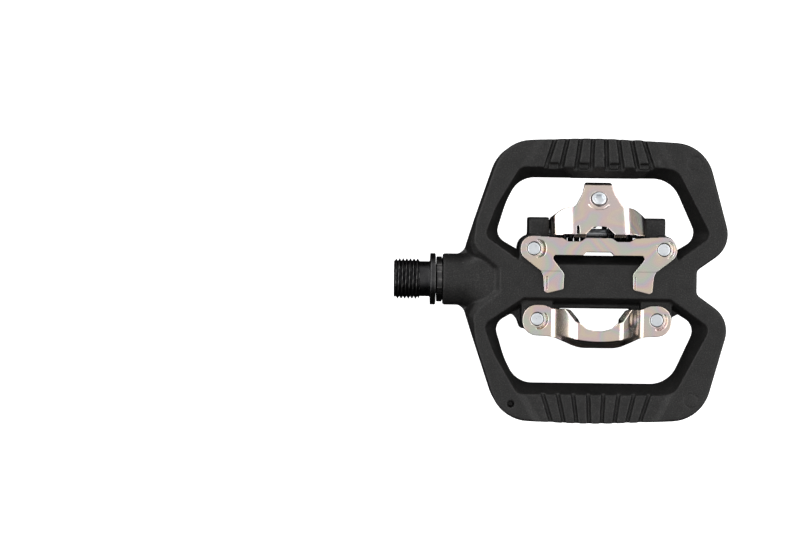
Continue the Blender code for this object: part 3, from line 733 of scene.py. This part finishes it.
def build_cage():
    cage = cage_blank()
    combine(cage, [neck_cutter(1), neck_cutter(-1)])
    combine(cage, [neck_flare()], "UNION")
    combine(cage, [window_cutter(1), window_cutter(-1)])
    treads = [tread_parts(y_side, z_side) for y_side in (-1, 1) for z_side in (-1, 1)]
    recesses, ribs, grooves, notches = zip(*treads)
    combine(cage, recesses)
    combine(cage, [*bosses(), *corner_fillers(), bar_pad()], "UNION")
    combine(cage, [merged(sum(ribs, []))], "UNION")
    combine(cage, [merged(sum(grooves, []))])
    combine(cage, [merged(sum(notches, []))])
    cutters = [rod("collar_bore", (0, 0, 0), (20, 0, 0), COLLAR_BORE, 72),
               rod("axle_bore", (19, 0, 0), (88.5, 0, 0), AXLE_BORE, 64)]
    for sign in (-1, 1):
        for offset, y in (PLATE_SCREW, CLAW_SCREW):
            x = CENTRE_X + sign * offset
            cutters.append(rod("shank_hole", (x, y, -12), (x, y, 12), SHANK_HOLE))
            cutters.append(rod("head_pocket", (x, y, -12), (x, y, -6.0), HEAD_POCKET))
        cutters.append(rod("face_hole", (*FACE_HOLE, sign * 7.0), (*FACE_HOLE, sign * 12), 1.25, 32))
    cutters.append(rod("pin_bore", (CENTRE_X - 22.5, PIN_Y, PIN_Z), (CENTRE_X + 22.5, PIN_Y, PIN_Z),
                       PIN_BORE))
    combine(cage, cutters)
    soften(cage, CAGE_VOXEL, 4)

    def mark(x, y, z):
        """A faint ejector ring on each face, near the outboard corners."""
        away = math.hypot(x - EJECTOR_MARK[0], abs(y) - EJECTOR_MARK[1]) - EJECTOR_RADIUS
        return x, y, z - math.copysign(EJECTOR_DEPTH * bump(away, 0.5) * ramp(abs(z), 9.0, 9.9), z)

    reshape(cage, mark)
    thin_out(cage, CAGE_KEPT_FACES)
    place(cage, "platform", COMPOSITE, "composite", "pedal_body")


build_cage()


# ---------------------------------------------------------------- spindle unit

THREAD_PITCH = 1.27
THREAD_RADIUS = 7.14
THREAD_DEPTH = 0.80
THREAD_END = -3.7
THREAD_ROWS = 118
TIP = -12.8
HEX_HALF_WIDTH = 4.0


def thread_wave(along, angle, radius):
    """Left-hand V thread, with a chamfered start and a short run-out."""
    if along >= THREAD_END or along <= TIP or radius < THREAD_RADIUS - 0.01:
        return radius
    phase = (along / THREAD_PITCH + angle / (2 * math.pi)) % 1.0
    flank = min(max((1 - abs(2 * phase - 1) - 0.12) / 0.74, 0.0), 1.0)
    value = radius - THREAD_DEPTH * (1.0 - flank)
    return min(value, 6.15 + (along - TIP) * 0.95, 6.45 + (THREAD_END - along) * 2.0)


def build_spindle():
    profile = [(TIP, 0), (TIP, 5.9), (TIP + 0.02, 6.1)]
    for k in range(1, THREAD_ROWS):
        profile.append((TIP + (THREAD_END - TIP) * k / THREAD_ROWS, THREAD_RADIUS))
    turned = rounded([(THREAD_END, 6.2, 0), (-0.35, 6.2, 0.3), (-0.05, 6.6, 0.2), (0.0, 9.1, 0.35),
                      (1.9, 9.1, 0.35), (1.9, 5.1, 0.15), (24, 5.1, 2), (66, 4.3, 2),
                      (69.7, 4.1, 0.1), (69.7, 2.95, 0.1), (87.1, 2.95, 0.3), (87.4, 2.4, 0)],
                     closed=False, steps=4)
    profile += [(p.x, p.y) for p in turned] + [(87.4, 0)]
    spindle = revolve("axle", profile, steps=112, wave=thread_wave)
    flat = HEX_HALF_WIDTH / math.cos(math.pi / 6)
    hexagon = revolve("hexagon", [(-14, 0), (-14, flat + 0.6), (-12.85, flat + 0.6), (-12.2, flat),
                                  (-4.3, flat), (-3.5, 0)], steps=6)
    combine(spindle, [hexagon])
    place(crisp(spindle, 38), "axle", BLACK_OXIDE, "black_steel", "spindle")


def build_collar():
    outline = rounded([(2.2, 6.6, 0.15), (2.2, 7.8, 0.15), (2.45, 8.05, 0.2), (4.1, 8.05, 0.15),
                       (4.1, 7.5, 0.1), (19.7, 7.5, 0.3), (19.7, 6.6, 0.1)], steps=3)
    collar = revolve("collar", [(p.x, p.y) for p in outline], steps=96)
    notches = []
    for i in range(6):
        notch = box("notch", (0, 0, 0), (3.4, 2.2, 1.6))
        angle = i * math.pi / 3
        notch.data.transform(Matrix.Translation(point(3.1, 8.6 * math.cos(angle), 8.6 * math.sin(angle)))
                             @ Matrix.Rotation(angle + math.pi / 2, 4, "X"))
        notches.append(notch)
    combine(collar, notches)
    place(crisp(collar), "platform", BLACK_OXIDE, "black_steel", "cartridge_collar")


def build_seal():
    """Lip seal: a back, and a thin lip that leans on the shaft."""
    outline = rounded([(2.6, 5.5, 0.1), (2.6, 6.3, 0.15), (5.0, 6.3, 0.15), (5.0, 5.9, 0.1),
                       (3.6, 5.8, 0.3), (3.3, 5.45, 0.1)], steps=3)
    seal = revolve("lip_seal", [(p.x, p.y) for p in outline], steps=72)
    place(crisp(seal), "platform", RUBBER, "seal_rubber", "spindle_seal")


def dress_hidden_nodes():
    """The bearing parts keep their CAD shapes and get finished materials."""
    groups = {"bearing_inner": GROUND, "bearing_outer": GROUND, "bearing_ball": GROUND,
              "bearing_spacer": GROUND, "ball_cage": BUSH, "plain_bushing": BUSH,
              "lock_washer": ZINC, "spindle_nut": ZINC}
    for name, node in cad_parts.items():
        for start, material in groups.items():
            if name.startswith(start):
                node.material_slots[0].material = material


build_spindle()
build_collar()
build_seal()
dress_hidden_nodes()


# ---------------------------------------------------------------- steel plates and claws

EYE_RADIUS = 2.4
SHEET = 1.6
PLATE_TOP = 11.9
CLAW_EYE_TOP = 8.9
SHEET_VOXEL = 0.17
REAR_CLAW_VOXEL = 0.18

def crescent_cutter(x, y, level, near, far, facing, depth):
    """A ramped crescent beside a screw: deepest at the near radius, and open to one side."""
    up = axis_frame((x, y, level), (x, y, level + 1))
    ring = revolve("crescent", [(-depth, near), (-depth, near + 0.2), (0.12, far), (1.5, far), (1.5, near)],
                   up, 72)
    shift = far - near
    centre = (x + shift * math.cos(facing), y + shift * math.sin(facing))
    outline = [Vector((centre[0] + near * 1.02 * math.cos(2 * math.pi * i / 48),
                       centre[1] + near * 1.02 * math.sin(2 * math.pi * i / 48))) for i in range(48)]
    combine(ring, [prism("side", outline, level - 3, level + 3)], "INTERSECT")
    return ring


def swage_cutter(x, y, level, radius):
    """A shallow coined groove round a screw."""
    up = axis_frame((x, y, level), (x, y, level + 1))
    return revolve("swage", [(-0.14, radius), (0.3, radius + 0.35), (0.3, radius - 0.35)], up, 72)


def build_plate():
    half = [(4.8, 15.2, 1.6), (6.2, 14.0, 1.6), (10.8, 14.0, 1.6), (12.6, 15.2, 1.6),
            (27.2, 16.0, 4.5), (27.2, 9.0, 4.2), (19.3, 2.9, 4.0), (18.75, -4.5, 1.3),
            (12.1, -2.8, 0.9), (11.95, 2.75, 1.8), (16.3, 8.2, 1.0), (15.2, 9.1, 0.8),
            (5.4, 9.1, 0.4), (4.2, 10.3, 0.4)]
    plate = prism("cleat_saddle", rounded(both_sides(half), steps=12), PLATE_TOP - SHEET, PLATE_TOP)
    cutters = []
    for sign, depth, far in ((-1, 1.40, 4.5), (1, 0.8, 3.8)):
        x, y = CENTRE_X + sign * PLATE_SCREW[0], PLATE_SCREW[1]
        cutters.append(rod("eye", (x, y, 8), (x, y, 14), EYE_RADIUS, 64))
        cutters.append(crescent_cutter(x, y, PLATE_TOP, 3.1, far, 0.0, depth))
        cutters.append(swage_cutter(x, y, PLATE_TOP, 2.95))
        leg_edge = CENTRE_X - 17.9 if sign < 0 else CENTRE_X + 12.75
        cutters.append(box("leg_line", (leg_edge, -0.6, 11.95), (0.50, 4.6, 1.7)))
    combine(plate, cutters)
    soften(plate, SHEET_VOXEL, 3)

    def shape(x, y, z):
        """Bends the two legs slightly down towards the hub."""
        bend = ramp(-y, -4.0, -3.2)
        return x, y, z - bend * 0.10 - 0.05 * max(0.0, 3.6 - y) * bend

    reshape(plate, shape)
    place(plate, "platform", PLATED, "plated_steel", "cleat_plate")


def climb_share(value, ease=0.24):
    """0 to 1 with a straight middle and a rounded bend at each end."""
    share = min(max(value, 0.0), 1.0)
    slope = 1.0 / (1.0 - ease)
    if share < ease:
        return slope * share * share / (2 * ease)
    if share > 1 - ease:
        return 1.0 - slope * (1 - share) ** 2 / (2 * ease)
    return slope * (share - ease / 2)


def build_front_claw():
    """Stamped strap: eyes low on the bosses, walls that climb to a horseshoe deck, and a front
    lip that curls down."""
    half = [(-1.0, -17.0, 0), (1.3, -17.0, 3.0), (4.4, -16.2, 4.0), (6.7, -14.0, 0.5),
            (7.1, -12.9, 0.4), (9.6, -9.9, 1.0), (11.5, -9.5, 1.0), (15.4, -9.7, 1.0),
            (18.6, -8.4, 3.0), (26.0, -8.2, 5.1), (26.0, -18.9, 5.1), (15.6, -19.4, 13.0),
            (7.0, -23.1, 14.0), (-1.0, -23.1, 0)]
    strap, other = [prism("fixed_claw", rounded([(CENTRE_X + sign * u, y, r) for u, y, r in half],
                                                steps=12), 0.0, SHEET) for sign in (-1, 1)]
    combine(strap, [other], "UNION")
    cutters = []
    for sign, depth in ((-1, 1.0), (1, 0.7)):
        x, y = CENTRE_X + sign * CLAW_SCREW[0], CLAW_SCREW[1]
        cutters.append(rod("eye", (x, y, -3), (x, y, 5), EYE_RADIUS, 64))
        cutters.append(crescent_cutter(x, y, SHEET, 3.1, 3.95, -0.45, depth))
        cutters.append(swage_cutter(x, y, SHEET, 2.9))
    combine(strap, cutters)
    soften(strap, SHEET_VOXEL, 3)

    def shape(x, y, z):
        """Raises the flat strap: walls, deck, front lip, the hooks at the mouth and one dent."""
        u = abs(x - CENTRE_X)
        share = (16.5 - u) / 10.2
        climb = 7.3 * climb_share(share)
        tilted = 1.0 + 0.38 * (bump(share - 0.5, 0.55) if 0 < share < 1 else 0.0)
        line = 20.4 - 0.012 * u * u
        lip = 3.6 * ramp(-y, line, line + 3.2) * ramp(climb, 0.6, 6.5)
        inward = (u - 6.9) * 0.792 - (y + 13.4) * 0.611
        hook = 2.4 * min(max(1.0 - inward / 1.4, 0.0), 1.2) * ramp(y, -14.4, -13.0)
        dent = 0.0
        if x > CENTRE_X:
            dent = 0.45 * bump((u - 12.1) / 1.9, 1.0) * bump((y + 13.0) / 4.3, 1.0)
        return x, y, CLAW_EYE_TOP - SHEET + z * tilted + climb - lip - hook - dent

    reshape(strap, shape)
    place(strap, "platform", PLATED, "plated_steel", "front_claw")


def jaw_level(y):
    """Height of the rear claw's sloping top face at y."""
    return JAW_TOP_Z - (y - JAW_Y) * math.tan(CLAW_SLOPE)


def screw_axis_point(distance, across=0.0):
    """On the tension screw's axis, a distance in from the claw's top face."""
    return (CENTRE_X + across, TENSION_HEAD_Y - distance * math.sin(CLAW_SLOPE),
            jaw_level(TENSION_HEAD_Y) - distance * math.cos(CLAW_SLOPE))


def build_rear_claw():
    """Sloping top with rolled shoulders, two ears on the pin, jaw lips and a flanged tab."""
    outside, inside, depth = 16.4, 14.6, 26.0
    outer = rounded([(-outside, -depth, 0), (-outside, -4.3, 3.4), (-9.4, 0, 6.0), (9.4, 0, 6.0),
                     (outside, -4.3, 3.4), (outside, -depth, 0)], steps=14)
    inner = rounded([(inside, -depth, 0), (inside, -5.5, 2.0), (8.8, -2.0, 4.0), (-8.8, -2.0, 4.0),
                     (-inside, -5.5, 2.0), (-inside, -depth, 0)], steps=14)
    rings = []
    for y in (12.0, 36.0):
        rings.append([point(CENTRE_X + p.x, y, jaw_level(y) + p.y) for p in outer + inner])
    claw = loft("sprung_claw", rings)
    half = [(0.9, 19.2, 0.9), (2.6, 18.9, 2.0), (5.0, 16.5, 1.2), (12.0, 16.5, 1.4), (13.2, 16.1, 0.8),
            (17.0, 16.1, 0), (17.0, 21.7, 2.4), (12.4, 25.5, 5.5), (8.3, 26.0, 2.4), (5.6, 30.8, 5.0),
            (4.6, 34.6, 0.9)]
    plan = prism("plan", rounded(both_sides(half)), -10, 24)
    side = rounded([(15.7, 22, 0), (36, 22, 0), (36, 2, 0), (25.0, 8.0, 2.5), (22.3, 3.0, 3),
                    (PIN_Y + 4.0, PIN_Z - 4.0, 3.9), (PIN_Y - 4.0, PIN_Z - 4.0, 3.9),
                    (PIN_Y - 4.0, 0.5, 3), (15.7, 6.5, 3)])
    combine(claw, [plan, prism("side", side, 30, 90, along="X")], "INTERSECT")
    extras = []
    for sign in (-1, 1):
        section = [(17.6, jaw_level(17.6) - 0.15), (16.3, JAW_TOP_Z - 0.25), (15.35, JAW_TOP_Z - 2.3),
                   (16.3, JAW_TOP_Z - 2.9), (17.3, JAW_TOP_Z - 1.6)]
        low, high = sorted((CENTRE_X + sign * 4.9, CENTRE_X + sign * 9.0))
        extras.append(prism("jaw_lip", section, low, high, along="X"))
        flange = []
        for y, u, deep in ((30.6, 5.35, 3.2), (32.2, 4.9, 3.0), (34.0, 4.55, 2.4)):
            top = jaw_level(y) - 0.6
            wall = [(u, top), (u, top - deep), (u - 1.2, top - deep), (u - 1.2, top)]
            flange.append([point(CENTRE_X + sign * v, y, z) for v, z in wall])
        extras.append(loft("flange", flange))
    end = [(34.6, jaw_level(34.6) - 0.5), (34.6, jaw_level(34.6) - 3.2), (33.4, jaw_level(33.4) - 3.5),
           (33.4, jaw_level(33.4) - 0.5)]
    extras.append(prism("tab_end", rounded([(*p, 0.35) for p in end], steps=4), CENTRE_X - 4.3,
                        CENTRE_X + 4.3, along="X"))
    combine(claw, extras, "UNION")
    above_tab = screw_axis_point(-3)
    cutters = [rod("ear_bore", (30, PIN_Y, PIN_Z), (90, PIN_Y, PIN_Z), PIN_BORE),
               rod("tab_hole", above_tab, screw_axis_point(5), 2.1),
               rod("tab_pocket", above_tab, screw_axis_point(0.9), 2.9, 64),
               box("relief_slot", (CENTRE_X - 7.7, 18.0, 14.5), (0.9, 2.8, 8.0))]
    tilt = axis_frame(screw_axis_point(0), screw_axis_point(-1))
    arc = revolve("arc", [(-0.34, 4.05), (0.3, 4.55), (0.3, 3.55)], tilt, 72)
    keep = box("keep", (CENTRE_X, TENSION_HEAD_Y - 5.2, jaw_level(TENSION_HEAD_Y)), (9.0, 7.0, 14.0))
    cutters.append(combine(arc, [keep], "INTERSECT"))
    combine(claw, cutters)
    soften(claw, REAR_CLAW_VOXEL, 3)

    def curl(x, y, z):
        """Rolls the tab's end down."""
        over = max(0.0, y - 33.5)
        return x, y, z - 0.9 * over * over

    reshape(claw, curl)
    place(claw, "rear_claw", PLATED, "plated_steel", "rear_claw")


build_plate()
build_front_claw()
build_rear_claw()


# ---------------------------------------------------------------- pin, springs and screws

PIN_RADIUS = 1.65
WIRE_RADIUS = 0.95
COIL_RADIUS = 3.15
COIL_START = 3.5
COIL_PITCH = 2.2
COIL_STEPS = 130
TENSION_RADIUS = 1.75
TENSION_PITCH = 0.7
TENSION_THREAD = (2.0, 17.0)
TENSION_THREAD_ROWS = 190
TENSION_HEX_HALF_WIDTH = 1.5
NUT_DISTANCE = 5.0
NUT_SIZE = (10.4, 4.6, 2.2)
NUT_VOXEL = 0.16

def build_pin():
    reach = 22.2
    outline = rounded([(-reach, 0, 0), (-reach, PIN_RADIUS, 0.45), (reach, PIN_RADIUS, 0.45),
                       (reach, 0, 0)], closed=False, steps=5)
    axis = axis_frame((CENTRE_X, PIN_Y, PIN_Z), (CENTRE_X + 1, PIN_Y, PIN_Z))
    pin = revolve("claw_pin", [(p.x, p.y) for p in outline], axis, 56)
    place(crisp(pin), "platform", ZINC, "zinc_steel", "pivot_pin")


def tube(name, path, radius, sides=20):
    """A round wire along a path of mm points, with domed ends."""
    points = [Vector(p) for p in path]
    work = bmesh.new()
    rows = []
    normal = None
    for i, here in enumerate(points):
        ahead = (points[min(i + 1, len(points) - 1)] - points[max(i - 1, 0)]).normalized()
        if normal is None:
            normal = ahead.orthogonal().normalized()
        normal = (normal - ahead * normal.dot(ahead)).normalized()
        side = ahead.cross(normal)
        row = []
        for k in range(sides):
            angle = 2 * math.pi * k / sides
            offset = (normal * math.cos(angle) + side * math.sin(angle)) * radius
            row.append(work.verts.new((here + offset) * MM))
        rows.append(row)
    for low, high in zip(rows, rows[1:]):
        for k in range(sides):
            n = (k + 1) % sides
            work.faces.new((low[k], low[n], high[n], high[k]))
    for row, outward in ((rows[0], points[0] - points[1]), (rows[-1], points[-1] - points[-2])):
        cap = row
        centre = sum((v.co for v in row), Vector()) / sides
        for lift, share in ((0.35, 0.85), (0.55, 0.5)):
            ring = [work.verts.new(centre + (v.co - centre) * share
                                   + outward.normalized() * radius * lift * MM) for v in row]
            for k in range(sides):
                n = (k + 1) % sides
                work.faces.new((cap[k], cap[n], ring[n], ring[k]))
            cap = ring
        work.faces.new(cap)
    return object_of(work, name)


def eased(path, rounds=3):
    """Cuts the corners of a path of points, which keeps its two ends."""
    points = [Vector(p) for p in path]
    for _ in range(rounds):
        result = [points[0]]
        for first, second in zip(points, points[1:]):
            result += [first.lerp(second, 0.25), first.lerp(second, 0.75)]
        points = result + [points[-1]]
    return points


def build_spring(name, node, sign):
    """A torsion spring on the pin. Its free leg stops short of the nut, to leave room for it."""
    inner_angle = math.radians(-46.5)
    outer_angle = math.radians(-135.4)
    turns = 4 + (inner_angle - outer_angle) / (2 * math.pi)
    coil = []
    for i in range(COIL_STEPS + 1):
        share = i / COIL_STEPS
        angle = inner_angle - share * turns * 2 * math.pi
        coil.append((CENTRE_X + sign * (COIL_START + COIL_PITCH * turns * share),
                     PIN_Y + COIL_RADIUS * math.cos(angle), PIN_Z + COIL_RADIUS * math.sin(angle)))
    near = CENTRE_X + sign * COIL_START
    end = CENTRE_X + sign * (COIL_START + COIL_PITCH * turns)
    first_leg = eased([(near, 26.4, 0.7), (near, 23.0, -1.0), (near, 22.0, -1.4), coil[0], coil[2]])[:-2]
    last_leg = eased([coil[-3], coil[-1], (end, 11.9, -1.5), (end, 10.2, 1.3)])[2:]
    path = first_leg + [Vector(p) for p in coil[2:-3]] + last_leg
    spring = tube(name, path, WIRE_RADIUS)
    place(crisp(spring, 50), "platform", SPRING_BLACK, "spring_steel", node)


def six_lobe(name, radius, low, high):
    """A six-lobed socket cutter along X, for a screw's own frame."""
    outline = []
    for i in range(72):
        angle = 2 * math.pi * i / 72
        r = radius * (0.86 + 0.14 * math.cos(6 * angle))
        outline.append((r * math.cos(angle), r * math.sin(angle)))
    return prism(name, outline, low, high, along="X")


def build_binding_screws():
    """Six-lobe heads on the flat side; the turned tips lie flush in the steel eyes."""
    for index, sign in enumerate((-1, 1), start=1):
        for label, (offset, y), tip in (("plate_screw", PLATE_SCREW, 11.75),
                                        ("claw_screw", CLAW_SCREW, 8.75)):
            x = CENTRE_X + sign * offset
            outline = rounded([(-8.7, 0, 0), (-8.7, 3.6, 0.55), (-6.3, 3.6, 0.25), (-6.3, 2.2, 0.1),
                               (tip, 2.2, 0.28), (tip, 0, 0)], closed=False, steps=5)
            slightly_hollow = [(-8.55, 0), (-8.62, 2.4)]
            profile = slightly_hollow + [(p.x, p.y) for p in outline[1:]]
            up = axis_frame((x, y, 0), (x, y, 1))
            screw = revolve(f"{label}_bolt_{index}", profile, up, 64)
            socket = six_lobe("socket", 1.95, -9.5, -6.9)
            socket.data.transform(up)
            dimple = revolve("dimple", [(tip - 0.08, 0), (tip - 0.08, 1.35), (tip + 0.6, 1.55),
                                        (tip + 0.6, 0)], up, 48)
            combine(screw, [socket, dimple])
            place(crisp(screw, 30), "platform", ZINC, "zinc_steel", f"{label}_{index}")


def build_tension_parts():
    """The hexagon-socket screw through the claw's tab, and the plate nut under it."""
    inward = axis_frame(screw_axis_point(0), screw_axis_point(1))
    outline = rounded([(-0.7, 0, 0), (-0.7, 2.5, 0.3), (0.75, 2.5, 0.15), (0.75, TENSION_RADIUS, 0.1),
                       (17.2, TENSION_RADIUS, 0.3), (17.6, 1.25, 0.2), (19.5, 1.25, 0.35),
                       (19.5, 0, 0)], closed=False, steps=4)
    turned = [(p.x, p.y) for p in outline]
    low, high = TENSION_THREAD
    profile = [p for p in turned if p[0] <= 0.8]
    profile += [(low + (high - low) * k / TENSION_THREAD_ROWS, TENSION_RADIUS)
                for k in range(TENSION_THREAD_ROWS + 1)]
    profile += [p for p in turned if p[0] > high]

    def wave(along, angle, radius):
        """Right-hand V thread that runs out over one pitch at each end."""
        if radius != TENSION_RADIUS or not low <= along <= high:
            return radius
        phase = (along / TENSION_PITCH - angle / (2 * math.pi)) % 1.0
        ends = min(1.0, (along - low) / TENSION_PITCH, (high - along) / TENSION_PITCH)
        return radius - 0.33 * ends * abs(2 * phase - 1)

    screw = revolve("tension_bolt", profile, inward, 48, wave)
    flat = TENSION_HEX_HALF_WIDTH / math.cos(math.pi / 6)
    socket = revolve("socket", [(-2, 0), (-2, flat), (0.45, flat), (0.75, 0)], inward, 6)
    combine(screw, [socket])
    place(crisp(screw, 40), "tension_screw", ZINC, "zinc_steel", "tension_screw")

    nut = box("tension_plate", (0, 0, 0), NUT_SIZE)
    nut.data.transform(Matrix.Translation(point(*screw_axis_point(NUT_DISTANCE)))
                       @ Matrix.Rotation(-CLAW_SLOPE, 4, "X"))
    combine(nut, [rod("nut_bore", screw_axis_point(1), screw_axis_point(9), 2.05)])
    soften(nut, NUT_VOXEL, 4)
    place(nut, "tension_nut", ZINC, "zinc_steel", "tension_nut")


build_pin()
build_spring("spring_coil_left", "spring_left", -1)
build_spring("spring_coil_right", "spring_right", 1)
build_binding_screws()
build_tension_parts()
